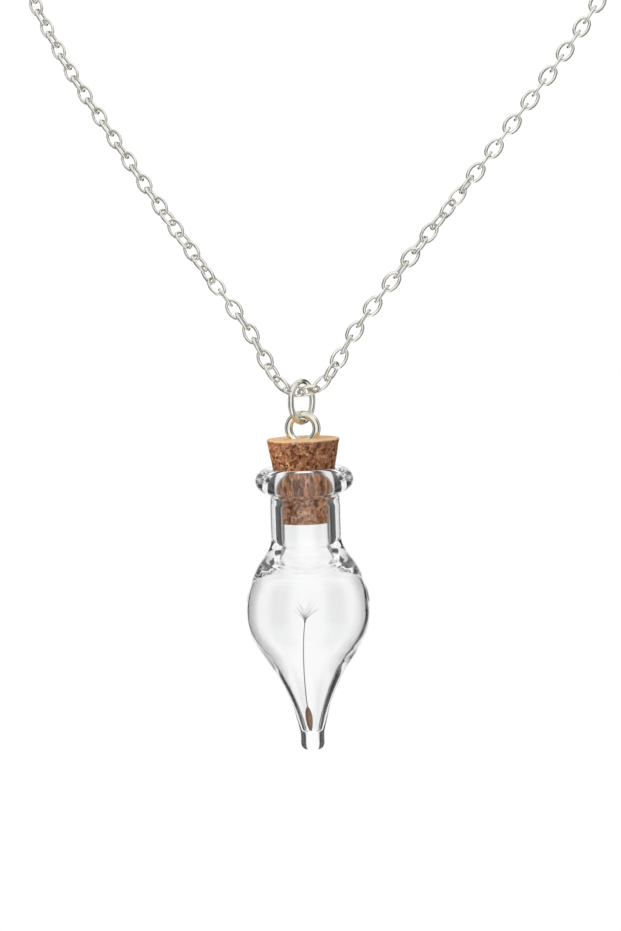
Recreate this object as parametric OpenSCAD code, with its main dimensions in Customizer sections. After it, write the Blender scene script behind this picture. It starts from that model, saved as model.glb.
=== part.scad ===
// Bottle pendant on a whole cable-chain necklace, worn shape.
// The origin is the nape of the neck, +Z is up and the front faces -Y.

/* [Chain] */
// Links in each strand, from the bottom of the V to the clasp (even)
strand_links = 104; // [84:2:120]
// Outer length of a link
link_l = 3.44; // [3.3:0.02:3.8]
// Outer width of a link
link_w = 2.4; // [2.3:0.05:2.8]
// Diameter of the link wire
link_wire = 0.48; // [0.4:0.02:0.52]
// Gap between one link's wire and the next, pulled straight
link_gap = 0.26; // [0.22:0.01:0.34]
// Radius of a link's round ends, on the middle of its wire
link_end_r = 0.8; // [0.75:0.05:0.85]

/* [Clasp] */
// Diameter of the clasp's round on the middle of its wire
clasp_d = 4.8; // [4:0.2:7]
// Diameter of the clasp's wire
clasp_wire = 0.9; // [0.7:0.05:0.95]
// Diameter of the small eye's round on the middle of its wire
clasp_eye_d = 1.9; // [1.8:0.1:2.6]
// Diameter of the small eye's wire
clasp_eye_wire = 0.55; // [0.5:0.05:0.7]

/* [Jump ring] */
// Outer diameter of the jump ring
ring_d = 6.7; // [6:0.1:8]
// Diameter of the jump ring's wire
ring_wire = 0.86; // [0.7:0.02:1]
// Turn of the ring away from facing the front, in degrees
ring_turn = 70; // [45:5:75]
// Gap between the ring and the links that it rests on
ring_gap = 0.25; // [0.2:0.05:0.4]

/* [Screw eye] */
// Outer diameter of the eye
eye_d = 5.25; // [4.8:0.05:6.5]
// Diameter of the eye's wire
eye_wire = 1.15; // [0.9:0.05:1.3]
// Height of the eye's middle above the top of the cork
eye_rise = 1.45; // [1:0.05:2.5]
// Gap between the eye and the jump ring's wire
eye_gap = 0.1; // [0.1:0.05:0.2]
// Diameter of the shank in the cork
shank_d = 1.2; // [0.8:0.1:1.6]
// Depth of the shank's point below the top of the cork
shank_depth = 7; // [4:0.5:9]
// Gap round the eye and its shank in the cork
shank_gap = 0.05; // [0.03:0.01:0.1]

/* [Cork] */
// Diameter of the cork's top
cork_top_d = 10.6; // [10:0.1:11.2]
// Diameter of the cork's foot, which the neck squeezes straight
cork_foot_d = 7; // [6:0.05:7.4]
// Height of the straight foot
cork_foot_h = 2.6; // [1.5:0.1:4]
// Height of the cork
cork_h = 12.1; // [11:0.1:14]
// Height of the cork above the bottle's lip
cork_proud = 4.2; // [3:0.1:5.5]
// Chamfer round the cork's edges
cork_edge = 0.15; // [0.1:0.05:0.4]
// Gap between the cork and the glass, on each side
cork_gap = 0.05; // [0.03:0.01:0.1]

/* [Bottle] */
// Height of the bottle from the lip to the end of its tip
bottle_h = 41.3; // [38:0.1:48]
// Width of the lip beside the mouth
lip_wall = 2.54; // [2.2:0.02:3]
// Height of the lip
lip_h = 3.6; // [3:0.1:4.5]
// Outer diameter of the neck
neck_d = 10.1; // [9.5:0.1:11]
// Depth below the lip's top at which the neck ends and the shoulder starts
neck_end = 10; // [9.5:0.1:12]
// Outer diameter of the bulb
bulb_d = 18; // [16:0.2:22]
// Depth below the lip's top at which the bulb is widest
bulb_depth = 20.6; // [19:0.2:24]
// Wall of the bulb
wall_t = 0.5; // [0.4:0.05:0.8]
// Depth below the lip's top at which the bore starts to flare
bore_end = 11.4; // [10:0.1:12.5]
// Diameter of the knob at the tip
knob_d = 3.5; // [3.2:0.1:4.5]
// Height of the knob at the tip
knob_h = 2.6; // [2:0.1:3.4]
// Solid glass below the hollow
floor_t = 2.7; // [2:0.1:4]
// Diameter of the hollow at its floor
floor_d = 2.2; // [1.8:0.1:2.6]

/* [Seed] */
// Length of the seed's body
seed_l = 3.9; // [3:0.1:4.5]
// Width of the seed's body
seed_w = 1.05; // [0.8:0.05:1.2]
// Length of the thin beak above the body
beak_l = 12.7; // [8:0.1:14]
// Diameter of the beak
beak_d = 0.16; // [0.12:0.02:0.3]
// Gap between the seed and the floor of the hollow
seed_gap = 0.1; // [0.05:0.05:0.3]
// Lean of the seed's body towards the left, in degrees
seed_lean = 5.5; // [0:0.5:7]
// Bend of the beak back from that lean, in degrees
beak_bend = 12; // [8:0.5:16]
// Distance of the seed's foot to the left of the bottle's middle
seed_shift = 0.24; // [0:0.02:0.3]

/* [Hidden] */
$fn = 48;

// Route of the right strand, from the bottom of the V to the nape: right, back, up
chain_route = [
    [0, -118, -112],
    [2.1, -117.9, -111.5],
    [3.8, -117.5, -110],
    [5.1, -117, -107.8],
    [8.3, -115.6, -102.5],
    [15, -113.4, -93.9],
    [28, -107, -77],
    [40, -100, -60],
    [51, -89, -40],
    [58, -70, -20],
    [57, -45, -8],
    [42, -18, -2],
    [22, -4, 0],
    [11, -0.8, 0],
    [5, 0, 0],
    [0, 0, 0]
];
// How far each link turns about the strand past its square place:
// link number, degrees, for the left and the right strand
left_twists = [[1, -38], [2, -40], [3, -25], [4, 0], [8, 0], [13, 90], [14, 68],
               [15, 90], [16, 68], [17, 90]];
right_twists = [[1, -38], [2, -40], [3, -25], [4, 0], [9, 0], [11, 20], [12, 5],
                [13, 28], [14, 18], [19, 90]];
// The chain lies flat against a body whose side is level with this point
side_y = -45;
// Share of the way sideways that the chain's outer face turns at the front
side_share = 0.3;
steps = 12;

// Points of a smooth curve through a list of points
function spline_at(p, i, t) =
    let (a = p[max(i - 1, 0)], b = p[i], c = p[i + 1], d = p[min(i + 2, len(p) - 1)])
    0.5 * (2 * b + (c - a) * t + (2 * a - 5 * b + 4 * c - d) * t * t
        + (3 * b - a - 3 * c + d) * t * t * t);
function spline(p) = concat(
    [for (i = [0 : len(p) - 2], s = [0 : steps - 1]) spline_at(p, i, s / steps)],
    [p[len(p) - 1]]);
function running_length(p) =
    [for (i = 0, s = 0; i < len(p); s = s + norm(p[min(i + 1, len(p) - 1)] - p[i]), i = i + 1) s];
function unit(v) = v / norm(v);

// A link's middle line is an oval of four arcs: two ends and two sides
link_half_l = (link_l - link_wire) / 2;
link_half_w = (link_w - link_wire) / 2;
link_rise = link_half_w - link_end_r;
link_end_x = link_half_l - link_end_r;
link_side_y = (pow(link_end_x, 2) - pow(link_rise, 2)) / (2 * link_rise);
link_side_r = link_half_w + link_side_y;
link_end_angle = atan2(link_side_y, link_end_x);
link_pitch = link_l - 2 * link_wire - link_gap;
link_hook = link_half_l - link_pitch / 2;

// The clasp lies in the X Z plane, with an end link through each of its rounds
clasp_in = clasp_d / 2 - clasp_wire / 2 - link_gap - link_wire / 2;
clasp_eye_in = clasp_eye_d / 2 - clasp_eye_wire / 2 - link_gap - link_wire / 2;
clasp_apart = clasp_d / 2 + clasp_eye_d / 2 + clasp_wire / 4;
clasp_reach = (clasp_apart + clasp_in + clasp_eye_in) / 2 + link_hook;
clasp_x = clasp_in - clasp_reach + link_hook;

// The route, sized so that whole links fill it from the V to the clasp
route = spline(chain_route);
route_s = running_length(route);
route_fit = (strand_links * link_pitch + clasp_reach) / route_s[len(route) - 1];
function route_table(axis) = [for (i = [0 : len(route) - 1]) route_fit * [route_s[i], route[i][axis]]];
route_x = route_table(0);
route_y = route_table(1);
route_z = route_table(2);
function joint_at(k) = let (s = k * link_pitch) [lookup(s, route_x), lookup(s, route_y), lookup(s, route_z)];
v_bottom = joint_at(0);

// The drop, from the V down
ring_mid_r = (ring_d - ring_wire) / 2;
ring_seat = 0.38 * link_w;
ring_z = v_bottom.z + ring_seat + ring_gap - (ring_mid_r - ring_wire / 2);
eye_mid_r = (eye_d - eye_wire) / 2;
eye_z = ring_z - ring_mid_r + (ring_wire + eye_wire) / 2 + eye_gap - eye_mid_r;
cork_z = eye_z - eye_rise;
lip_z = cork_z - cork_proud;
cork_slope = (cork_top_d - cork_foot_d) / 2 / (cork_h - cork_foot_h);
bore_r = cork_foot_d / 2 + cork_gap;
mouth_r = bore_r + cork_slope * (cork_h - cork_proud - cork_foot_h);

// Outside of the shoulder: share of the depth from the neck's end to the
// widest place, share of the way from the neck's radius to the bulb's
shoulder_table = [[0, 0], [0.1, 0.04], [0.2, 0.165], [0.3, 0.355], [0.4, 0.535], [0.5, 0.67],
                  [0.6, 0.778], [0.7, 0.868], [0.8, 0.94], [0.9, 0.985], [1, 1]];
// Outside of the lower bulb: share of the depth from the widest place to the
// knob, share of the way from the bulb's radius to the knob's
taper_table = [[0, 1], [0.1, 0.982], [0.2, 0.917], [0.3, 0.782], [0.4, 0.617], [0.5, 0.468],
               [0.6, 0.335], [0.7, 0.216], [0.8, 0.122], [0.9, 0.061], [1, 0]];
// Inside, in the same way: from the bore to the widest place, then to the floor
cave_top_table = [[0, 0], [0.1, 0.03], [0.2, 0.17], [0.3, 0.42], [0.4, 0.65], [0.5, 0.79],
                  [0.6, 0.875], [0.7, 0.935], [0.8, 0.973], [0.9, 0.993], [1, 1]];
cave_tip_table = [[0, 1], [0.1, 0.986], [0.2, 0.918], [0.3, 0.779], [0.4, 0.606], [0.5, 0.447],
                  [0.6, 0.32], [0.7, 0.213], [0.8, 0.128], [0.9, 0.061], [1, 0]];
// Seed's body: share of its length from the foot, share of its half width
seed_table = [[0, 0.22], [0.1, 0.5], [0.3, 0.85], [0.5, 1], [0.68, 0.98], [0.82, 0.75],
              [0.93, 0.35], [1, 0.14]];

module link_arc(r, from, sweep)
    rotate([0, 0, from])
    rotate_extrude(angle = sweep)
    translate([r, 0])
    circle(d = link_wire);

module link() {
    for (turn = [0, 180])
        rotate([0, 0, turn]) {
            translate([link_end_x, 0])
            link_arc(link_end_r, -link_end_angle, 2 * link_end_angle);
            translate([0, -link_side_y])
            link_arc(link_side_r, link_end_angle, 180 - 2 * link_end_angle);
        }
}

// One link between two joints, turned by `roll` about the line between them
module link_between(a, b, roll) {
    mid = (a + b) / 2;
    along = unit(b - a);
    away = [side_share * mid.x, mid.y - side_y * route_fit, 0];
    face = unit(away - (away * along) * along);
    across = cross(face, along);
    multmatrix([
        [along.x, across.x, face.x, mid.x],
        [along.y, across.y, face.y, mid.y],
        [along.z, across.z, face.z, mid.z]
    ])
    rotate([roll, 0, 0])
    link();
}

module strand(side, twists)
    for (k = [1 : strand_links]) {
        a = joint_at(k - 1);
        b = joint_at(k);
        link_between([side * a.x, a.y, a.z], [side * b.x, b.y, b.z],
            90 * (k % 2) + lookup(k, twists));
    }

module chain_left()
    color("silver")
    strand(-1, left_twists);

module chain_right()
    color("silver")
    strand(1, right_twists);

module round_wire(mid_r, wire)
    rotate_extrude()
    translate([mid_r, 0])
    circle(d = wire);

module clasp()
    color("silver")
    translate([clasp_x, 0, 0])
    rotate([90, 0, 0]) {
        round_wire(clasp_d / 2, clasp_wire);
        translate([clasp_apart, 0, 0])
        rotate([0, 0, 90])
        round_wire(clasp_eye_d / 2, clasp_eye_wire);
    }

module drop_at(z)
    translate([v_bottom.x, v_bottom.y, z])
    children();

module jump_ring()
    color("silver")
    drop_at(ring_z)
    rotate([90, 0, ring_turn])
    round_wire(ring_mid_r, ring_wire);

// The eye and its shank, grown by `gap` for the hole that they leave in the cork
module eye_and_shank(gap) {
    drop_at(eye_z)
    rotate([90, 0, 0])
    round_wire(eye_mid_r, eye_wire + 2 * gap);
    drop_at(cork_z - shank_depth - gap)
    cylinder(d = shank_d + 2 * gap, h = eye_z - eye_mid_r - cork_z + shank_depth);
}

module screw_eye()
    color("gainsboro")
    eye_and_shank(0);

module cork_stopper()
    color("peru")
    difference() {
        drop_at(cork_z - cork_h)
        rotate_extrude()
        polygon([
            [0, 0],
            [cork_foot_d / 2 - cork_edge, 0],
            [cork_foot_d / 2, cork_edge],
            [cork_foot_d / 2, cork_foot_h],
            [cork_top_d / 2 - cork_slope * cork_edge, cork_h - cork_edge],
            [cork_top_d / 2 - cork_edge, cork_h],
            [0, cork_h]
        ]);
        eye_and_shank(shank_gap);
    }

// A table of shares as a smooth wall, from one depth and radius to another
function wall_points(table, depths, radii) =
    [for (p = spline(table)) [
        radii[0] + (radii[1] - radii[0]) * p[1],
        -(depths[0] + (depths[1] - depths[0]) * p[0])
    ]];
function arc_points(c, r, from, to, n) =
    [for (i = [0 : n]) let (a = from + (to - from) * i / n) c + r * [cos(a), sin(a)]];

function reversed(list) = [for (i = [len(list) - 1 : -1 : 0]) list[i]];

knob_start = bottle_h - knob_h;
knob_round = 0.35 * knob_d;
cave_r = bulb_d / 2 - wall_t;
cave_floor = bottle_h - floor_t;
floor_round = 0.3 * floor_d;
lip_r = mouth_r + lip_wall;
// The lip's roll ends this many degrees under its middle
lip_turn = 80;
mouth_round = lip_h / 9;

// The glass's outline on one side: down the outside, then down the inside
glass_outside = concat(
    arc_points([lip_r - lip_h / 2, -lip_h / 2], lip_h / 2, 90, -lip_turn, 14),
    [[neck_d / 2, -1.15 * lip_h]],
    wall_points(shoulder_table, [neck_end, bulb_depth], [neck_d / 2, bulb_d / 2]),
    wall_points(taper_table, [bulb_depth, knob_start], [knob_d / 2, bulb_d / 2]),
    arc_points([knob_d / 2 - knob_round, knob_round - bottle_h], knob_round, 0, -90, 6),
    [[0, -bottle_h]]
);
glass_inside = concat(
    arc_points([mouth_r + mouth_round, -mouth_round], mouth_round, 90, 180, 4),
    [[bore_r, cork_proud + cork_foot_h - cork_h]],
    wall_points(cave_top_table, [bore_end, bulb_depth], [bore_r, cave_r]),
    wall_points(cave_tip_table, [bulb_depth, cave_floor - floor_round], [floor_d / 2, cave_r]),
    arc_points([floor_d / 2 - floor_round, floor_round - cave_floor], floor_round, 0, -90, 4),
    [[0, -cave_floor]]
);

module glass_bottle()
    color("lightcyan", 0.4)
    drop_at(lip_z)
    rotate_extrude()
    polygon(concat(glass_outside, reversed(glass_inside)));

beak_r = beak_l / (beak_bend * PI / 180);

module dandelion_seed()
    color("saddlebrown")
    drop_at(lip_z - cave_floor + seed_gap)
    translate([-seed_shift, 0, 0])
    rotate([0, -seed_lean, 0]) {
        rotate_extrude()
        polygon(concat([[0, 0]], [for (p = spline(seed_table)) [seed_w / 2 * p[1], seed_l * p[0]]],
            [[0, seed_l]]));
        translate([beak_r, 0, seed_l - beak_d])
        mirror([1, 0, 0])
        rotate([90, 0, 0])
        rotate_extrude(angle = beak_bend)
        translate([beak_r, 0])
        circle(d = beak_d);
    }

chain_left();
chain_right();
clasp();
jump_ring();
screw_eye();
cork_stopper();
glass_bottle();
dandelion_seed();
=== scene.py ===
"""A corked glass bottle with a dandelion seed inside, hung on a cable-chain necklace.

The sections follow the necklace as it is put together, from the chain down to the seed.
"""

import math

import bmesh
import bpy
import numpy as np
from mathutils import Matrix, Vector


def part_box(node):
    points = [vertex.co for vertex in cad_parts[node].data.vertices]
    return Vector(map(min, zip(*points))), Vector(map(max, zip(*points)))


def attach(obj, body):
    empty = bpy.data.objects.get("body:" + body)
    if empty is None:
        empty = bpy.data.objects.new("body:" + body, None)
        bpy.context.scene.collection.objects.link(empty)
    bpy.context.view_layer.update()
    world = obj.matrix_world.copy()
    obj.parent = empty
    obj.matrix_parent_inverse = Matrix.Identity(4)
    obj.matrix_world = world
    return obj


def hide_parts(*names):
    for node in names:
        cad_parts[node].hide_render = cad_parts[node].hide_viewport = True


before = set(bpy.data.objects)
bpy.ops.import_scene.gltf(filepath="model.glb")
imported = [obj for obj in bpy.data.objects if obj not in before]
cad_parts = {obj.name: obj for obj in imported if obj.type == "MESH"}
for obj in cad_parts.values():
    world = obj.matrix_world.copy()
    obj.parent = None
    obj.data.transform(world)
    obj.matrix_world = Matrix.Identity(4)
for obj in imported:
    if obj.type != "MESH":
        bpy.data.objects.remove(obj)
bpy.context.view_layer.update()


# Camera. A long lens stands in front of the bottle's lip, a little above it and to one side,
# and leans slightly, as the photograph does.
mm = 0.001
picture_px = (621, 931)
mm_per_px = 0.144
camera_distance = 380 * mm
camera_height = math.radians(5.8)
camera_lean = math.radians(1.85)
camera_aside = math.radians(12)
lip_px = (303.9, 467.5)
sensor = 36.0

glass_low, glass_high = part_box("glass_bottle")
drop_x = (glass_low.x + glass_high.x) / 2
drop_y = (glass_low.y + glass_high.y) / 2
lip_z = glass_high.z


def look_from_front(middle, seen_at):
    """A camera matrix: `middle` shows at pixel `seen_at`, offset along the leaning picture axes."""
    level = Vector((math.cos(camera_aside), math.sin(camera_aside), 0))
    ahead = Vector((-math.sin(camera_aside), math.cos(camera_aside), 0))
    forward = ahead * math.cos(camera_height) + Vector((0, 0, -math.sin(camera_height)))
    upright = level.cross(forward)
    right = level * math.cos(camera_lean) - upright * math.sin(camera_lean)
    up = upright * math.cos(camera_lean) + level * math.sin(camera_lean)
    aside = (seen_at[0] - picture_px[0] / 2) * mm_per_px * mm
    above = (picture_px[1] / 2 - seen_at[1]) * mm_per_px * mm
    place = middle - forward * camera_distance - right * aside - up * above
    turned = Matrix((right, up, -forward)).transposed().to_4x4()
    return Matrix.Translation(place) @ turned


camera = bpy.data.objects.new("camera", bpy.data.cameras.new("camera"))
bpy.context.scene.collection.objects.link(camera)
camera.data.sensor_width = sensor
camera.data.lens = sensor * camera_distance / (picture_px[1] * mm_per_px * mm)
camera.data.clip_start = 0.01
camera.matrix_world = look_from_front(Vector((drop_x, drop_y, lip_z)), lip_px)
bpy.context.scene.camera = camera


# Studio. A white panel stands behind the object in a pale room, between two dark flags that
# draw the dark edges of clear glass. Two dark corners beside the camera draw dark lines on
# the wires. The floor's brightness follows the studio's, and the camera itself sees a plain
# pale room.
back_light = 1.03
room_light = 0.82
flag_light = 0.03
corner_light = 0.1
front_light = 1.1
# Cosine of the bearing where a change of light starts and ends, and the light before and after it
light_zones = ((-0.95, -0.65, front_light, corner_light),
               (-0.4, 0.05, corner_light, room_light),
               (0.36, 0.5, room_light, flag_light),
               (0.9, 0.94, flag_light, back_light))
ceiling_light = 1.0
ceiling_low = 0.35
ceiling_high = 0.65
floor_z = -900 * mm
floor_half = 12.0
floor_near = 0.25
floor_far = 0.6
floor_paint = 0.7
floor_glow = 0.35
key_place = (-1.1, -1.0, 0.55)
key_size = 0.6
key_watts = 16


def feed(tree, socket, value):
    """Links a socket to the output that is given, or sets it to any other value."""
    if isinstance(value, bpy.types.NodeSocket):
        tree.links.new(value, socket)
    else:
        socket.default_value = value


def add_node(tree, kind, settings=None, **sockets):
    """Adds a shader node with its settings and what feeds its sockets."""
    node = tree.nodes.new("ShaderNode" + kind)
    for key, value in (settings or {}).items():
        setattr(node, key, value)
    for key, value in sockets.items():
        feed(tree, node.inputs[key.replace("_", " ")], value)
    return node


def math_node(tree, operation, first, second=0.0, third=0.0):
    """The output of a Math node."""
    node = tree.nodes.new("ShaderNodeMath")
    node.operation = operation
    for socket, value in zip(node.inputs, (first, second, third)):
        feed(tree, socket, value)
    return node.outputs[0]


def tone(red, green, blue):
    """A screen colour from 0 to 255 as the linear colour that a shader takes."""
    screen = np.array([red, green, blue]) / 255
    linear = np.where(screen < 0.04045, screen / 12.92, ((screen + 0.055) / 1.055) ** 2.4)
    return (*linear.tolist(), 1.0)


def ramp(tree, factor, stops):
    """A colour that follows `factor` through a list of (place, colour) stops."""
    node = tree.nodes.new("ShaderNodeValToRGB")
    tree.links.new(factor, node.inputs["Fac"])
    elements = node.color_ramp.elements
    while len(elements) < len(stops):
        elements.new(1.0)
    for element, (place, colour) in zip(elements, stops):
        element.position = place
        element.color = colour
    return node.outputs["Color"]


def smooth_share(tree, value, start, stop):
    """A smooth step from 0 at `start` to 1 at `stop`."""
    step = add_node(tree, "MapRange", {"interpolation_type": "SMOOTHSTEP"}, Value=value,
                    From_Min=start, From_Max=stop)
    return step.outputs["Result"]


def studio_light_group():
    """How bright the studio is in a direction, by the cosine of its bearing from the camera's line.

    From behind the camera to the panel, light changes by a smooth step at each zone's border.
    """
    group = bpy.data.node_groups.new("studio_light", "ShaderNodeTree")
    group.interface.new_socket("Direction", in_out="INPUT", socket_type="NodeSocketVector")
    group.interface.new_socket("Light", in_out="OUTPUT", socket_type="NodeSocketFloat")
    given = group.nodes.new("NodeGroupInput").outputs["Direction"]
    square = add_node(group, "VectorRotate", {"rotation_type": "Z_AXIS"}, Vector=given, Angle=-camera_aside)
    parts = add_node(group, "SeparateXYZ", Vector=square.outputs["Vector"])
    across, along = parts.outputs["X"], parts.outputs["Y"]
    reach = math_node(group, "SQRT", math_node(group, "ADD", math_node(group, "MULTIPLY", across, across),
                                               math_node(group, "MULTIPLY", along, along)))
    cosine = math_node(group, "DIVIDE", along, math_node(group, "MAXIMUM", reach, 0.0001))
    light = front_light
    for start, stop, before, after in light_zones:
        share = smooth_share(group, cosine, start, stop)
        light = math_node(group, "MULTIPLY_ADD", share, after - before, light)
    made = group.nodes.new("NodeGroupOutput")
    group.links.new(light, made.inputs["Light"])
    return group


def studio_world():
    """Light by direction: the panel, flags and room near the level, and a pale ceiling above.

    Rays that leave the camera and meet nothing see the panel's light all round.
    """
    world = bpy.data.worlds.new("studio")
    bpy.context.scene.world = world
    world.use_nodes = True
    tree = world.node_tree
    direction = add_node(tree, "TexCoord").outputs["Generated"]
    level = add_node(tree, "Group", {"node_tree": studio_light}, Direction=direction).outputs["Light"]
    height = add_node(tree, "SeparateXYZ", Vector=direction).outputs["Z"]
    overhead = smooth_share(tree, height, ceiling_low, ceiling_high)
    ceiling = math_node(tree, "MULTIPLY", overhead, ceiling_light)
    seen = math_node(tree, "MULTIPLY", add_node(tree, "LightPath").outputs["Is Camera Ray"], back_light)
    light = math_node(tree, "MAXIMUM", math_node(tree, "MAXIMUM", level, ceiling), seen)
    tree.links.new(light, tree.nodes["Background"].inputs["Color"])


def soft_box(name, place, size, watts):
    """A square soft box at `place` that faces the drop. It lights, but is never seen itself."""
    lamp = bpy.data.lights.new(name, "AREA")
    lamp.size = size
    lamp.energy = watts
    box = bpy.data.objects.new(name, lamp)
    bpy.context.scene.collection.objects.link(box)
    facing = (Vector((drop_x, drop_y, lip_z)) - Vector(place)).to_track_quat("-Z", "Y")
    box.matrix_world = Matrix.Translation(place) @ facing.to_matrix().to_4x4()
    box.visible_camera = False
    box.visible_transmission = False
    box.visible_glossy = False


def lit_floor():
    """One flat square, pale under the drop and further out as bright as the studio that way.

    It looks pale all over where the camera sees it straight.
    """
    corners = [(x, y, floor_z) for x, y in ((-1, -1), (1, -1), (1, 1), (-1, 1))]
    corners = [(x * floor_half, y * floor_half, z) for x, y, z in corners]
    mesh = bpy.data.meshes.new("floor")
    mesh.from_pydata(corners, [], [(0, 1, 2, 3)])
    material = bpy.data.materials.new("floor")
    material.use_nodes = True
    tree = material.node_tree
    place = add_node(tree, "TexCoord").outputs["Object"]
    away = add_node(tree, "VectorMath", {"operation": "ADD"}, Vector=place)
    away.inputs[1].default_value = (-drop_x, -drop_y, -floor_z)
    distance = add_node(tree, "VectorMath", {"operation": "LENGTH"}, Vector=away.outputs["Vector"])
    far = smooth_share(tree, distance.outputs["Value"], floor_near, floor_far)
    near = math_node(tree, "SUBTRACT", 1.0, far)
    level = add_node(tree, "Group", {"node_tree": studio_light}, Direction=away.outputs["Vector"])
    seen = add_node(tree, "LightPath").outputs["Is Camera Ray"]
    light = math_node(tree, "MAXIMUM", math_node(tree, "MAXIMUM", near, level.outputs["Light"]), seen)
    shader = tree.nodes["Principled BSDF"]
    tree.links.new(math_node(tree, "MULTIPLY", light, floor_paint), shader.inputs["Base Color"])
    tree.links.new(light, shader.inputs["Emission Color"])
    shader.inputs["Roughness"].default_value = 0.9
    shader.inputs["Specular IOR Level"].default_value = 0.0
    shader.inputs["Emission Strength"].default_value = floor_glow
    mesh.materials.append(material)
    floor = bpy.data.objects.new("floor", mesh)
    bpy.context.scene.collection.objects.link(floor)


studio_light = studio_light_group()
studio_world()
lit_floor()
soft_box("key_light", key_place, key_size, key_watts)
bpy.context.scene.view_settings.view_transform = "Standard"
# Light runs along inside the thick glass many times before it leaves
paths = bpy.context.scene.cycles
paths.max_bounces = 32
paths.glossy_bounces = 24
paths.transmission_bounces = 24


# Chain. Soldered oval links of silver-coloured plated wire, each through the next, run in
# two strands from the V at the front to the clasp at the nape.
links_per_strand = 104
link_length = 3.44 * mm
link_width = 2.4 * mm
link_wire = 0.48 * mm
link_end_radius = 0.8 * mm
link_sides = 6
end_steps = 5
side_steps = 3


def skin(name, points, wrap_rows=False):
    """A smooth mesh over grids of points[copy, row, column], whose columns always close in a ring.

    Rows close too with wrap_rows. Rows of one point become poles, and a shell that would
    face inwards, so that its signed volume is negative, is turned.
    """
    copies, rows, columns = points.shape[:3]
    row, column = np.meshgrid(np.arange(rows if wrap_rows else rows - 1), np.arange(columns), indexing="ij")
    below, beside = (row + 1) % rows, (column + 1) % columns
    quads = np.stack([row * columns + column, below * columns + column,
                      below * columns + beside, row * columns + beside], -1).reshape(-1, 4)
    flat = points.reshape(-1, 3)
    a, b, c, d = (points[0].reshape(-1, 3)[quads[:, i]] for i in range(4))
    volume = (np.cross(a, b) * c + np.cross(a, c) * d).sum()
    if volume < 0:
        quads = quads[:, ::-1]
    quads = (quads[None] + np.arange(copies)[:, None, None] * rows * columns).reshape(-1, 4)
    mesh = bpy.data.meshes.new(name)
    mesh.from_pydata(flat.tolist(), [], quads.tolist())
    return mesh


def finish_piece(name, mesh, body, material, stands_for=()):
    """Merges a mesh's poles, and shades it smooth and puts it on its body."""
    edit = bmesh.new()
    edit.from_mesh(mesh)
    bmesh.ops.remove_doubles(edit, verts=edit.verts, dist=1e-9)
    edit.to_mesh(mesh)
    edit.free()
    mesh.polygons.foreach_set("use_smooth", np.ones(len(mesh.polygons), bool))
    mesh.materials.append(material)
    piece = bpy.data.objects.new(name, mesh)
    bpy.context.scene.collection.objects.link(piece)
    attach(piece, body)
    if stands_for:
        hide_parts(*stands_for)


def unit(v):
    """Vectors scaled to length one."""
    return v / np.linalg.norm(v, axis=-1, keepdims=True)


def wire(line, radius, across, sides, closed=False):
    """A round wire: a circle of `sides` points carried along line[..., point, axis].

    `across` is a vector that is nowhere along the line. The circle at each point is
    radius * (cos t * beside + sin t * over), square to the line's own direction there.
    """
    if closed:
        along = np.roll(line, -1, -2) - np.roll(line, 1, -2)
    else:
        along = np.gradient(line, axis=-2)
    along = unit(along)
    beside = unit(np.cross(np.broadcast_to(across, line.shape), along))
    over = np.cross(along, beside)
    turn = 2 * np.pi * np.arange(sides) / sides
    radius = np.broadcast_to(radius, (*line.shape[:-1], sides))[..., None]
    ring = np.cos(turn)[:, None] * beside[..., None, :] + np.sin(turn)[:, None] * over[..., None, :]
    return line[..., None, :] + radius * ring


def capped(line, surface):
    """An open wire's surface with its line's end points as rows of one point, which close it."""
    ends = np.broadcast_to(line[[0, -1], None], (2, *surface.shape[1:]))
    return np.concatenate([ends[:1], surface, ends[1:]])


def link_line():
    """The middle of a link's wire: two end arcs and two flatter side arcs that meet smoothly."""
    half_length = (link_length - link_wire) / 2
    half_width = (link_width - link_wire) / 2
    rise = half_width - link_end_radius
    end_x = half_length - link_end_radius
    side_y = (end_x ** 2 - rise ** 2) / (2 * rise)
    side_radius = half_width + side_y
    corner = math.atan2(side_y, end_x)
    end = np.linspace(-corner, corner, end_steps + 1)[:-1]
    side = np.linspace(corner, math.pi - corner, side_steps + 1)[:-1]
    half = np.concatenate([
        np.stack([end_x + link_end_radius * np.cos(end), link_end_radius * np.sin(end)], -1),
        np.stack([side_radius * np.cos(side), side_radius * np.sin(side) - side_y], -1)])
    outline = np.concatenate([half, -half])
    return np.concatenate([outline, np.zeros((len(outline), 1))], -1)


def link_places(node):
    """Each link's middle and its long, wide and thin directions, read from the frame's own links."""
    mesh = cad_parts[node].data
    points = np.empty(len(mesh.vertices) * 3, np.float32)
    mesh.vertices.foreach_get("co", points)
    points = points.reshape(links_per_strand, -1, 3).astype(float)
    middle = (points.max(1) + points.min(1)) / 2
    centred = points - points.mean(1, keepdims=True)
    _, _, axes = np.linalg.svd(centred, full_matrices=False)
    return middle, axes


def polished_silver(name, warm):
    """Nickel-coloured plate: bright metal with faint wear in its gloss and a little warmth."""
    material = bpy.data.materials.new(name)
    material.use_nodes = True
    tree = material.node_tree
    place = add_node(tree, "TexCoord").outputs["Object"]
    wear = add_node(tree, "Group", {"node_tree": plate_wear}, Place=place, Patch_Size=1.6 * mm)
    colour = ramp(tree, wear.outputs["Patches"], [(0.25, (0.66, 0.65, 0.6 - warm, 1)),
                                                  (0.7, (0.88, 0.87, 0.82 - warm, 1))])
    shader = tree.nodes["Principled BSDF"]
    tree.links.new(colour, shader.inputs["Base Color"])
    shader.inputs["Metallic"].default_value = 1.0
    tree.links.new(wear.outputs["Roughness"], shader.inputs["Roughness"])
    bump = add_node(tree, "Bump", Strength=0.12, Distance=0.02 * mm, Height=wear.outputs["Scratches"])
    tree.links.new(bump.outputs["Normal"], shader.inputs["Normal"])
    return material


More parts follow.
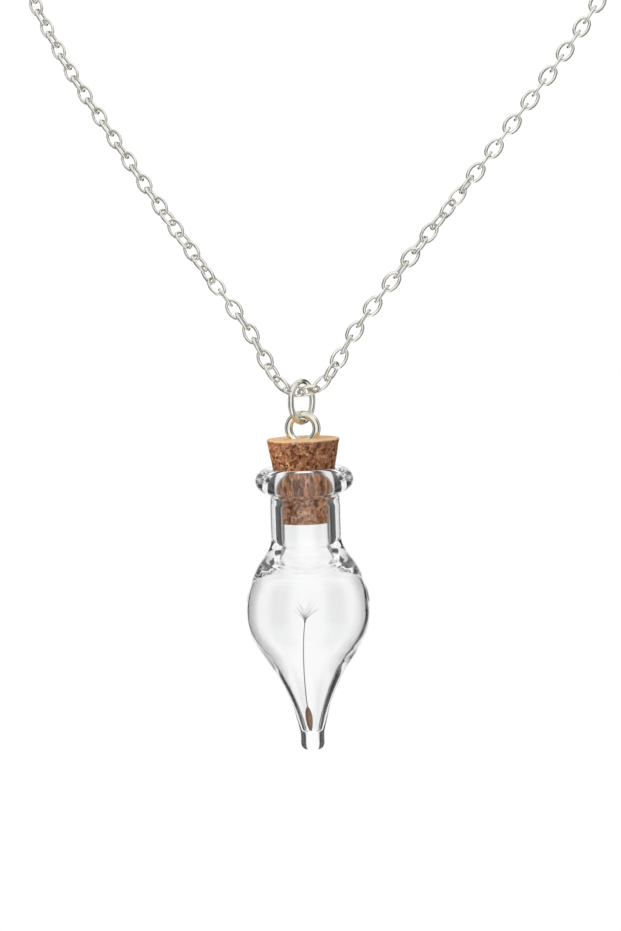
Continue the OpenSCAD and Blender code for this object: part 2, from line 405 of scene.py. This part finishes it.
def plate_wear_group():
    """Wear of plated wire: soft patches, fine scratches and the roughness that follows them."""
    group = bpy.data.node_groups.new("plate_wear", "ShaderNodeTree")
    for name, kind in (("Place", "NodeSocketVector"), ("Patch Size", "NodeSocketFloat")):
        group.interface.new_socket(name, in_out="INPUT", socket_type=kind)
    for name in ("Patches", "Scratches", "Roughness"):
        group.interface.new_socket(name, in_out="OUTPUT", socket_type="NodeSocketFloat")
    given = group.nodes.new("NodeGroupInput")
    scale = math_node(group, "DIVIDE", 1.0, given.outputs["Patch Size"])
    patches = add_node(group, "TexNoise", Vector=given.outputs["Place"], Scale=scale, Detail=3.0)
    fine = math_node(group, "MULTIPLY", scale, 9.0)
    scratches = add_node(group, "TexNoise", Vector=given.outputs["Place"], Scale=fine, Detail=4.0,
                         Distortion=1.5)
    rough = add_node(group, "MapRange", Value=scratches.outputs["Fac"], From_Min=0.3, From_Max=0.7,
                     To_Min=0.05, To_Max=0.14)
    made = group.nodes.new("NodeGroupOutput")
    group.links.new(patches.outputs["Fac"], made.inputs["Patches"])
    group.links.new(scratches.outputs["Fac"], made.inputs["Scratches"])
    group.links.new(rough.outputs["Result"], made.inputs["Roughness"])
    return group


plate_wear = plate_wear_group()
chain_silver = polished_silver("chain_silver", 0.0)
one_link = wire(link_line(), link_wire / 2, (0, 0, 1), link_sides, closed=True)
for side in ("left", "right"):
    middles, directions = link_places("chain_" + side)
    links = middles[:, None, None] + np.einsum("rcj,kji->krci", one_link, directions)
    finish_piece("chain_links_" + side, skin("chain_links_" + side, links, wrap_rows=True),
                 "chain", chain_silver, ["chain_" + side])


# Clasp. A plain cast spring-ring body with a small eye for the last link, hidden at the nape.
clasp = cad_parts["clasp"]
clasp.data.materials.clear()
clasp.data.materials.append(chain_silver)


# Jump ring. A round of heavier wire, bent shut with a butt joint that isn't soldered. It
# carries the drop on the crossing of the two strands.
ring_low, ring_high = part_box("jump_ring")
ring_wire = 0.86 * mm
ring_turn = math.radians(70)
ring_cut = 0.05 * mm
ring_cut_at = math.radians(150)
ring_steps = 96
ring_sides = 20


def bent_ring():
    """A circle in an upright plane that is turned about Z, open by the width of its cut."""
    middle = np.array((ring_low + ring_high) / 2)
    radius = (ring_high.z - ring_low.z) / 2 - ring_wire / 2
    half_cut = ring_cut / 2 / radius
    turn = ring_cut_at + np.linspace(half_cut, 2 * np.pi - half_cut, ring_steps)
    level = np.array([math.cos(ring_turn), math.sin(ring_turn), 0])
    upright = np.array([0, 0, 1])
    line = middle + radius * (np.cos(turn)[:, None] * level + np.sin(turn)[:, None] * upright)
    return capped(line, wire(line, ring_wire / 2, np.cross(level, upright), ring_sides))


ring_silver = polished_silver("ring_silver", 0.02)
finish_piece("bent_jump_ring", skin("bent_jump_ring", bent_ring()[None]),
             "ring", ring_silver, ["jump_ring"])


# Screw eye. Plated wire with a thread cut on its straight end, which is then bent round
# to an eye. The thread is screwed and glued into the cork, and the eye's foot sinks in.
eye_low, eye_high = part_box("screw_eye")
eye_wire = 1.15 * mm
shank_wire = 1.2 * mm
thread_pitch = 0.7 * mm
thread_depth = 0.16 * mm
eye_closing = math.radians(14)
eye_sides = 24
shank_steps = 110
eye_steps = 90


def threaded_eye():
    """A straight shank that runs up into a circle, as one wire with a helical thread below.

    The thread is radius = shank + depth * wave(turn - 2 pi * height / pitch), fading out
    towards the point and towards the eye.
    """
    radius = (eye_high.x - eye_low.x) / 2 - eye_wire / 2
    middle = np.array([drop_x, drop_y, eye_high.z - eye_wire / 2 - radius])
    foot_z = middle[2] - radius
    height = np.linspace(eye_low.z, foot_z - 0.3 * eye_wire, shank_steps)
    shank = np.stack([np.full(shank_steps, drop_x), np.full(shank_steps, drop_y), height], -1)
    turn = np.linspace(-np.pi / 2 + 0.18, 1.5 * np.pi - eye_closing, eye_steps)
    eye = middle + radius * np.stack([np.cos(turn), 0 * turn, np.sin(turn)], -1)
    line = np.concatenate([shank, eye])
    rise = (line[:, 2] - eye_low.z) / (foot_z - eye_low.z)
    on_shank = np.arange(len(line)) < shank_steps
    around = 2 * np.pi * np.arange(eye_sides) / eye_sides
    wave = np.cos(around - 2 * np.pi * (line[:, 2:] - eye_low.z) / thread_pitch) - 1
    fade = np.where(on_shank, np.clip((0.85 - rise) * 8, 0, 1), 0)[:, None]
    point = np.where(on_shank, np.clip(rise * 7, 0, 1) ** 0.6, 1)[:, None]
    thick = np.where(on_shank, shank_wire / 2, eye_wire / 2)[:, None]
    wire_radius = (thick + thread_depth / 2 * wave * fade) * point
    return capped(line, wire(line, wire_radius, (0, 1, 0), eye_sides))


eye_silver = polished_silver("eye_silver", 0.05)
finish_piece("threaded_screw_eye", skin("threaded_screw_eye", threaded_eye()[None]),
             "stopper", eye_silver, ["screw_eye"])


# Cork. A tapered stopper punched and ground from pressed cork grain, so its sides show
# torn grains and pits, which are painted dark as painted shade. Its top is paler, and the
# part in the neck is painted paler with painted light, for the lamp light that the glass keeps from it.
cork_low, cork_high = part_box("cork_stopper")
cork_foot_radius = 3.5 * mm
cork_foot_height = 2.6 * mm
cork_edge = 0.15 * mm
cork_around = 330
cork_rows = 150
cork_cap_rows = 44
pit_count = 520
pit_depth = 0.16 * mm
pit_small = 0.08 * mm
pit_spread = 0.17 * mm
pit_stretch = 1.4
pit_side_share = 0.86
rim_wave = 0.03 * mm
grain_scale = 2300.0
grain_bend = 0.25 * mm
top_paleness = 0.75
top_fade = 0.25 * mm
# How far below the lip the painted light on the cork in the neck grows to full
neck_fade = 1.2 * mm


def cork_surface():
    """A lathe form: radius and height run over the foot, up the side and in over the top.

    Each pit lowers the skin by depth * exp(-(distance / size) ** 4), and slow waves make
    the rims uneven. The pits' share of full depth is given back, to paint shade in the pits.
    """
    rng = np.random.default_rng(11)
    top_radius = (cork_high.x - cork_low.x) / 2
    height = cork_high.z - cork_low.z
    inward = np.linspace(1, 0, cork_cap_rows + 1)[1:]
    edge = np.linspace(0, np.pi / 2, 5)
    side = np.linspace(cork_edge, height - cork_edge, cork_rows)
    slope = (top_radius - cork_foot_radius) / (height - cork_foot_height)
    side_radius = cork_foot_radius + slope * np.maximum(side - cork_foot_height, 0)
    foot_in = cork_foot_radius - cork_edge
    top_in = top_radius - cork_edge
    r = np.concatenate([inward[::-1] * foot_in, foot_in + cork_edge * np.sin(edge),
                        side_radius[1:-1],
                        top_in + cork_edge * np.cos(edge), inward * top_in])
    z = np.concatenate([np.zeros(cork_cap_rows), cork_edge * (1 - np.cos(edge)), side[1:-1],
                        height - cork_edge * (1 - np.sin(edge)), np.full(cork_cap_rows, height)])
    turn = 2 * np.pi * np.arange(cork_around) / cork_around
    x, y = r[:, None] * np.cos(turn), r[:, None] * np.sin(turn)
    points = np.stack([x, y, np.broadcast_to(z[:, None], x.shape)], -1)
    facing = unit(np.stack([np.gradient(z), -np.gradient(r)], -1))
    outward = np.stack([facing[:, :1] * np.cos(turn), facing[:, :1] * np.sin(turn),
                        np.broadcast_to(facing[:, 1:], x.shape)], -1)
    share = rng.random(pit_count)
    on_top = share > pit_side_share
    pit_turn = 2 * np.pi * rng.random(pit_count)
    pit_z = np.where(on_top, height, height * rng.random(pit_count))
    pit_r = np.where(on_top, top_radius * np.sqrt(rng.random(pit_count)),
                     cork_foot_radius + slope * np.maximum(pit_z - cork_foot_height, 0))
    pit_size = pit_small + pit_spread * rng.random(pit_count) ** 2
    pit_long = 1 + pit_stretch * rng.random(pit_count)
    pit_lean = np.pi * rng.random(pit_count)
    centre = np.stack([pit_r * np.cos(pit_turn), pit_r * np.sin(pit_turn), pit_z], -1)
    lowered = np.zeros(x.shape)
    for k in range(pit_count):
        away = points - centre[k]
        sideways = np.array([-math.sin(pit_turn[k]), math.cos(pit_turn[k]), 0])
        radial = np.array([math.cos(pit_turn[k]), math.sin(pit_turn[k]), 0])
        upright = radial if on_top[k] else np.array([0, 0, 1])
        u = away @ sideways * math.cos(pit_lean[k]) + away @ upright * math.sin(pit_lean[k])
        v = away @ upright * math.cos(pit_lean[k]) - away @ sideways * math.sin(pit_lean[k])
        deep = away @ np.cross(sideways, upright)
        span = (u / pit_long[k]) ** 2 + v ** 2 + (0.5 * deep) ** 2
        lowered = np.maximum(lowered, np.exp(-(span / pit_size[k] ** 2) ** 2))
    wave = 0.5 + 0.5 * np.sin(3 * turn + 1000 * z[:, None]) * np.sin(7 * turn - 1300 * z[:, None])
    down = pit_depth * lowered + rim_wave * wave
    points = points - outward * down[..., None]
    points = points + np.array([drop_x, drop_y, cork_low.z])
    return points, lowered


def mixed_colour(tree, factor, first, second, settings=None):
    """The colour that a Mix node makes of two others by its factor."""
    node = add_node(tree, "Mix", {"data_type": "RGBA", **(settings or {})})
    for place, value in ((0, factor), (6, first), (7, second)):
        feed(tree, node.inputs[place], value)
    return node.outputs[2]


def pressed_cork():
    """Pressed grain: grains of several browns, dark seams between some, specks, painted shade in the pits,
    a pale top, and painted light on the part in the neck.
    """
    material = bpy.data.materials.new("pressed_cork")
    material.use_nodes = True
    tree = material.node_tree
    place = add_node(tree, "TexCoord").outputs["Object"]
    bent = add_node(tree, "TexNoise", Vector=place, Scale=1600.0, Detail=2.0)
    shift = add_node(tree, "VectorMath", {"operation": "SCALE"}, Vector=bent.outputs["Color"],
                     Scale=grain_bend)
    bent_place = add_node(tree, "VectorMath", {"operation": "ADD"}, Vector=place)
    tree.links.new(shift.outputs["Vector"], bent_place.inputs[1])
    grain = add_node(tree, "TexVoronoi", Vector=bent_place.outputs["Vector"], Scale=grain_scale)
    grain_tone = add_node(tree, "SeparateColor", Color=grain.outputs["Color"])
    grains = ramp(tree, grain_tone.outputs["Red"], [
        (0.0, tone(112, 64, 38)), (0.2, tone(150, 98, 68)), (0.6, tone(174, 120, 86)),
        (0.88, tone(190, 138, 102)), (1.0, tone(212, 164, 126))])
    speck = add_node(tree, "TexNoise", Vector=place, Scale=3300.0, Detail=4.0, Roughness=0.65)
    specks = ramp(tree, speck.outputs["Fac"], [(0.34, (0.42, 0.32, 0.26, 1)), (0.46, (0.96, 0.95, 0.94, 1)),
                                               (0.68, (1.12, 1.1, 1.06, 1))])
    speckled = mixed_colour(tree, 0.85, grains, specks, {"blend_type": "MULTIPLY"})
    seam = add_node(tree, "TexVoronoi", {"feature": "DISTANCE_TO_EDGE"},
                    Vector=bent_place.outputs["Vector"], Scale=grain_scale)
    seam_mask = add_node(tree, "MapRange", Value=seam.outputs["Distance"], From_Min=0.02, From_Max=0.1,
                         To_Min=1.0, To_Max=0.0)
    some = add_node(tree, "TexNoise", Vector=place, Scale=420.0, Detail=1.0)
    some_mask = add_node(tree, "MapRange", Value=some.outputs["Fac"], From_Min=0.5, From_Max=0.66)
    seams = math_node(tree, "MULTIPLY", seam_mask.outputs["Result"], some_mask.outputs["Result"])
    # Painted shade: the pits are darkened by their depth, towards the same dark brown as the cork's own
    # seams
    pits = add_node(tree, "Attribute", {"attribute_name": "pit"})
    seams_and_pit_shade = math_node(tree, "MAXIMUM", seams, pits.outputs["Fac"])
    seams_and_pit_shade = math_node(tree, "MULTIPLY", seams_and_pit_shade, 0.85)
    seamed_and_pit_shaded = mixed_colour(tree, seams_and_pit_shade, speckled, tone(74, 38, 24))
    # Painted light: the cork in the neck is made about twice as pale, standing in for the lamp light that
    # the glass keeps from it
    neck_painted_light = add_node(tree, "Attribute", {"attribute_name": "in_neck"})
    neck_lit_cork = mixed_colour(tree, neck_painted_light.outputs["Fac"], seamed_and_pit_shaded, (1.95, 2.05, 2.1, 1),
                           {"blend_type": "MULTIPLY", "clamp_result": True})
    facing = add_node(tree, "Attribute", {"attribute_name": "top"})
    topped = mixed_colour(tree, facing.outputs["Fac"], neck_lit_cork, tone(246, 208, 160))
    shader = tree.nodes["Principled BSDF"]
    tree.links.new(topped, shader.inputs["Base Color"])
    shader.inputs["Roughness"].default_value = 0.85
    shader.inputs["Specular IOR Level"].default_value = 0.25
    rough_height = math_node(tree, "SUBTRACT", speck.outputs["Fac"], seams_and_pit_shade)
    bump = add_node(tree, "Bump", Strength=0.7, Distance=0.12 * mm, Height=rough_height)
    tree.links.new(bump.outputs["Normal"], shader.inputs["Normal"])
    return material


def add_shares(mesh, name, shares):
    """Stores one number for each point of a mesh, under a name that its material reads."""
    attribute = mesh.attributes.new(name, "FLOAT", "POINT")
    attribute.data.foreach_set("value", shares.astype(np.float32).ravel())


cork_points, cork_pit_shade = cork_surface()
cork_mesh = skin("pressed_cork_stopper", cork_points[None])
# The pits' depth, from which the material paints shade in them
add_shares(cork_mesh, "pit", cork_pit_shade)
cork_top_share = top_paleness * np.clip((cork_points[..., 2] - cork_high.z) / top_fade + 1, 0, 1)
add_shares(cork_mesh, "top", cork_top_share)
# Share of painted light on the cork in the neck, full from neck_fade below the lip
add_shares(cork_mesh, "in_neck", np.clip((lip_z - cork_points[..., 2]) / neck_fade, 0, 1))
finish_piece("pressed_cork_stopper", cork_mesh, "stopper", pressed_cork(), ["cork_stopper"])


# Bottle. One piece of clear glass, blown by hand from a tube: a rolled lip, a thick neck,
# a thin bulb whose left wall is thinner, and a drawn tip that ends in a solid knob.
glass_around = 200
glass_neck_radius = 10.1 / 2 * mm
neck_end = 10 * mm
lip_height = 3.6 * mm
lip_radius = 7.09 * mm
lip_turn = 80
under_lip = 1.15 * lip_height
bore_radius = 3.55 * mm
bore_top = 5.3 * mm
bore_end = 11.4 * mm
mouth_radius = 4.55 * mm
mouth_rounding = 0.4 * mm
bulb_wall = 0.5 * mm
knob_radius = 3.5 / 2 * mm
knob_height = 2.6 * mm
knob_rounding = 1.1 * mm
hollow_foot_radius = 1.1 * mm
hollow_foot_rounding = 0.66 * mm
floor_thickness = 2.7 * mm
bulb_depth = 20.6 * mm
thin_side_shift = 0.2 * mm
hollow_swell_from = 12 * mm
outside_swell_from = 11 * mm
hollow_oval = 0.0015
hollow_ripple = 0.0006
outside_ripple = 0.0005
outside_rows = 250
hollow_rows = 230
# Depth below the neck as a share of the way to the widest place, and the share of the swelling
shoulder = [(0, 0), (0.1, 0.04), (0.2, 0.165), (0.3, 0.355), (0.4, 0.535), (0.5, 0.67), (0.6, 0.778),
            (0.7, 0.868), (0.8, 0.94), (0.9, 0.985), (1, 1)]
# Depth below the widest place as a share of the way to the knob, and the share of the swelling left
taper = [(0, 1), (0.1, 0.982), (0.2, 0.917), (0.3, 0.782), (0.4, 0.617), (0.5, 0.468), (0.6, 0.335),
         (0.7, 0.216), (0.8, 0.122), (0.9, 0.061), (1, 0)]
# The same for the hollow
hollow_shoulder = [(0, 0), (0.1, 0.03), (0.2, 0.17), (0.3, 0.42), (0.4, 0.65), (0.5, 0.79), (0.6, 0.875),
                   (0.7, 0.935), (0.8, 0.973), (0.9, 0.993), (1, 1)]
hollow_taper = [(0, 1), (0.1, 0.986), (0.2, 0.918), (0.3, 0.779), (0.4, 0.606), (0.5, 0.447), (0.6, 0.32),
                (0.7, 0.213), (0.8, 0.128), (0.9, 0.061), (1, 0)]


def smooth_through(points, steps):
    """A Catmull-Rom curve through the points: each stretch is a cubic of four neighbours."""
    p = np.array(points, float)
    p = np.concatenate([p[:1], p, p[-1:]])
    a, b, c, d = (p[i:len(p) - 3 + i, None] for i in range(4))
    t = (np.arange(steps) / steps)[None, :, None]
    curve = 0.5 * (2 * b + (c - a) * t + (2 * a - 5 * b + 4 * c - d) * t ** 2
                   + (3 * b - a - 3 * c + d) * t ** 3)
    return np.concatenate([curve.reshape(-1, 2), p[-1:]])


def wall(shares, depths, radii, steps=10):
    """Shares as (radius, depth) points between two depths and two radii."""
    curve = smooth_through(shares, steps)
    depth = depths[0] + (depths[1] - depths[0]) * curve[:, 0]
    radius = radii[0] + (radii[1] - radii[0]) * curve[:, 1]
    return np.stack([radius, depth], -1)


def arc(middle, radius, start, stop, steps):
    """(radius, depth) points on a circle, from one angle to another in degrees."""
    turn = np.radians(np.linspace(start, stop, steps + 1))
    return np.array(middle) + radius * np.stack([np.cos(turn), -np.sin(turn)], -1)


def evenly(outline, steps):
    """An outline's points, spaced evenly along its length."""
    length = np.concatenate([[0], np.cumsum(np.linalg.norm(np.diff(outline, axis=0), axis=1))])
    at = np.linspace(0, length[-1], steps)
    return np.stack([np.interp(at, length, outline[:, 0]), np.interp(at, length, outline[:, 1])], -1)


def blown_glass():
    """A lathe form: down the outside from the lip, round the knob and up the hollow to the mouth.

    The hollow is moved to one side round the bulb, and slow waves round and along it stand
    for the uneven wall of hand-blown glass.
    """
    height = glass_high.z - glass_low.z
    bulb_radius = (glass_high.y - glass_low.y) / 2
    roll = lip_height / 2
    lip_out = lip_radius - roll
    wall_radius = bulb_radius - bulb_wall
    hollow_end = height - floor_thickness
    knob_start = height - knob_height
    outside = np.concatenate([
        arc((lip_out, roll), roll, 90, -lip_turn, 22),
        smooth_through([(glass_neck_radius, under_lip), (glass_neck_radius, neck_end)], 12),
        wall(shoulder, (neck_end, bulb_depth), (glass_neck_radius, bulb_radius))[1:],
        wall(taper, (bulb_depth, knob_start), (knob_radius, bulb_radius))[1:],
        arc((knob_radius - knob_rounding, height - knob_rounding), knob_rounding, 0, -90, 12),
        [(0, height)]])
    mouth, foot = mouth_rounding, hollow_foot_rounding
    hollow = np.concatenate([
        arc((mouth_radius + mouth, mouth), mouth, 90, 180, 8),
        [(bore_radius, bore_top)],
        wall(hollow_shoulder, (bore_end, bulb_depth), (bore_radius, wall_radius)),
        wall(hollow_taper, (bulb_depth, hollow_end - foot), (hollow_foot_radius, wall_radius))[1:],
        arc((hollow_foot_radius - foot, hollow_end - foot), foot, 0, -90, 8)[1:],
        [(0, hollow_end)]])
    outside, hollow = evenly(outside, outside_rows), evenly(hollow, hollow_rows)
    turn = 2 * np.pi * np.arange(glass_around) / glass_around

    def turned(outline, uneven, shift):
        radius = outline[:, :1] * (1 + uneven)
        x = radius * np.cos(turn) + shift
        return np.stack([x, radius * np.sin(turn), np.broadcast_to(-outline[:, 1:], x.shape)], -1)

    def swelling(outline, start, stop):
        share = np.clip((outline[:, 1:] - start) / (stop - start), 0, 1)
        return np.sin(np.pi * share) ** 2

    body = swelling(hollow, hollow_swell_from, hollow_end)
    uneven = body * (hollow_oval * np.sin(2 * turn + 0.6)
                     + hollow_ripple * np.sin(3 * turn - 260 * hollow[:, 1:]))
    inside = turned(hollow, uneven, -thin_side_shift * body)
    skin_wave = (swelling(outside, outside_swell_from, height) * outside_ripple
                 * np.sin(3 * turn + 2.1 + 190 * outside[:, 1:]))
    shell = np.concatenate([turned(outside, -np.abs(skin_wave), 0), inside[::-1]])
    return shell[::-1] + np.array([drop_x, drop_y, lip_z])


def clear_glass():
    """Clear glass with a faint grey, so the inside of the bulb looks a little darker than the room."""
    material = bpy.data.materials.new("clear_glass")
    material.use_nodes = True
    tree = material.node_tree
    shader = tree.nodes["Principled BSDF"]
    shader.inputs["Base Color"].default_value = (0.955, 0.958, 0.957, 1)
    shader.inputs["Transmission Weight"].default_value = 1.0
    shader.inputs["IOR"].default_value = 1.47
    shader.inputs["Roughness"].default_value = 0.0
    place = add_node(tree, "TexCoord").outputs["Object"]
    ripple = add_node(tree, "TexNoise", Vector=place, Scale=260.0, Detail=2.0)
    bump = add_node(tree, "Bump", Strength=0.03, Distance=0.1 * mm, Height=ripple.outputs["Fac"])
    tree.links.new(bump.outputs["Normal"], shader.inputs["Normal"])
    return material


finish_piece("blown_glass_bottle", skin("blown_glass_bottle", blown_glass()[None], wrap_rows=True),
             "bottle", clear_glass(), ["glass_bottle"])


# Seed. A real dandelion seed: a ribbed brown body, a hair-thin beak and a tuft of fine
# white hairs. It was dropped in through the neck and stands in the tip.
seed_low, seed_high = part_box("dandelion_seed")
seed_length = 3.9 * mm
seed_half_width = 1.05 / 2 * mm
seed_lean = math.radians(5.5)
seed_shift = -0.24 * mm
seed_rows = 60
seed_around = 60
rib_count = 10
beak_length = 12.7 * mm
beak_radius = 0.08 * mm
beak_bend = math.radians(12)
beak_steps = 60
beak_sides = 10
knot_radius = 0.1 * mm
hair_count = 22
hair_steps = 9
hair_sides = 4
hair_radius = 0.02 * mm
hair_short = 1.6 * mm
hair_spread = 1.5 * mm
hair_lean = 10
hair_lean_spread = 38
# Share of the body's length from the foot, and the share of its half width
seed_outline = [(0, 0.22), (0.1, 0.5), (0.3, 0.85), (0.5, 1), (0.68, 0.98), (0.82, 0.75),
                (0.93, 0.35), (1, 0.14)]


def stood_in_tip(points):
    """Points along Z, leaned to the left and set on the seed's foot."""
    c, s = math.cos(seed_lean), math.sin(seed_lean)
    lean = np.array([[c, 0, -s], [0, 1, 0], [s, 0, c]])
    return points @ lean.T + np.array([drop_x + seed_shift, drop_y, seed_low.z])


def ribbed_seed():
    """A spindle of radius * (1 - 0.2 * |sin(ribs * turn / 2)| ** 0.7), with small teeth above."""
    curve = smooth_through(seed_outline, 8)
    share = np.linspace(0, 1, seed_rows)
    radius = np.interp(share, curve[:, 0], curve[:, 1]) * seed_half_width
    turn = 2 * np.pi * np.arange(seed_around) / seed_around
    ribs = 1 - 0.2 * np.abs(np.sin(rib_count * turn / 2)) ** 0.7
    teeth = 0.1 * np.clip(share * 3 - 1.8, 0, 1)[:, None] * np.sin(46 * share[:, None] * np.pi) ** 2
    r = radius[:, None] * (ribs + teeth * (ribs > 0.9) - 0.1 * (teeth > 0))
    z = np.broadcast_to(share[:, None] * seed_length, r.shape)
    body = np.stack([r * np.cos(turn), r * np.sin(turn), z], -1)
    foot = np.zeros((1, seed_around, 3))
    top = np.full((1, seed_around, 3), [0, 0, seed_length])
    return stood_in_tip(np.concatenate([foot, body, top]))


def beak_line():
    """An arc that leaves the body's top along Z and bends back to the right."""
    bend_radius = beak_length / beak_bend
    turn = np.linspace(0, beak_bend, beak_steps)
    x = bend_radius * (1 - np.cos(turn))
    z = seed_length - 2 * beak_radius + bend_radius * np.sin(turn)
    return stood_in_tip(np.stack([x, 0 * x, z], -1))


def beak():
    """A thin wire along the beak's arc that ends in a small knot, where the hairs grow."""
    share = np.linspace(0, 1, beak_steps)
    radius = beak_radius * (0.95 - 0.15 * share) + knot_radius * np.exp(-((share - 0.985) / 0.009) ** 2)
    radius[0] = 0
    radius[-1] = 0
    return wire(beak_line(), radius[:, None], (0, 1, 0), beak_sides)


def hair_tuft():
    """Hairs that fan up from the knot, about a golden angle apart, each bent slightly out."""
    rng = np.random.default_rng(5)
    start = beak_line()[-2]
    share = np.linspace(0, 1, hair_steps)
    turn = np.arange(hair_count) * np.pi * (3 - math.sqrt(5)) + 0.3 * rng.random(hair_count)
    lean = np.radians(hair_lean + hair_lean_spread * rng.random(hair_count) ** 0.8)
    length = hair_short + hair_spread * rng.random(hair_count)
    bend = lean[:, None] + 0.25 * share * (1 + rng.random((hair_count, 1)))
    out = np.stack([np.cos(turn), np.sin(turn), 0 * turn], -1)
    step = np.sin(bend)[..., None] * out[:, None] + np.cos(bend)[..., None] * np.array([0, 0, 1])
    line = start + np.cumsum(step * (length / hair_steps)[:, None, None], 1)
    line = np.concatenate([np.broadcast_to(start, (hair_count, 1, 3)), line], 1)
    radius = np.append([0], hair_radius * (1.1 - 0.5 * share))
    radius[-1] = 0
    across = np.stack([-np.sin(turn), np.cos(turn), 0 * turn], -1)[:, None]
    return wire(line, radius[:, None], across, hair_sides)


def plant_fibre(name, stops, height_from, height_to):
    """Dry plant skin: a colour that runs with height, broken up by fine streaks."""
    material = bpy.data.materials.new(name)
    material.use_nodes = True
    tree = material.node_tree
    place = add_node(tree, "TexCoord").outputs["Object"]
    height = add_node(tree, "SeparateXYZ", Vector=place).outputs["Z"]
    share = add_node(tree, "MapRange", Value=height, From_Min=height_from, From_Max=height_to)
    streak_place = add_node(tree, "Mapping", Vector=place, Scale=(1, 1, 0.2))
    streaks = add_node(tree, "TexNoise", Vector=streak_place.outputs["Vector"], Scale=9000.0, Detail=3.0)
    mixed = math_node(tree, "MULTIPLY_ADD", streaks.outputs["Fac"], 0.5, -0.25)
    mixed = math_node(tree, "ADD", share.outputs["Result"], mixed)
    shader = tree.nodes["Principled BSDF"]
    tree.links.new(ramp(tree, mixed, stops), shader.inputs["Base Color"])
    shader.inputs["Roughness"].default_value = 0.6
    return material


seed_top_z = seed_low.z + seed_length
seed_brown = plant_fibre("seed_brown", [(0.0, tone(120, 78, 44)), (0.5, tone(172, 118, 70)),
                                        (1.0, tone(146, 98, 60))], seed_low.z, seed_top_z)
beak_grey = plant_fibre("beak_grey", [(0.0, tone(128, 100, 72)), (0.3, tone(120, 112, 98)),
                                      (0.97, tone(104, 98, 88)), (1.0, tone(60, 50, 42))],
                        seed_top_z, seed_high.z)
hair_white = plant_fibre("hair_white", [(0.0, tone(164, 158, 148)), (1.0, tone(190, 186, 178))],
                         seed_high.z, seed_high.z + 4 * mm)
finish_piece("seed_body", skin("seed_body", ribbed_seed()[None]), "bottle", seed_brown,
             ["dandelion_seed"])
finish_piece("seed_beak", skin("seed_beak", beak()[None]), "bottle", beak_grey)
finish_piece("seed_hairs", skin("seed_hairs", hair_tuft()), "bottle", hair_white)
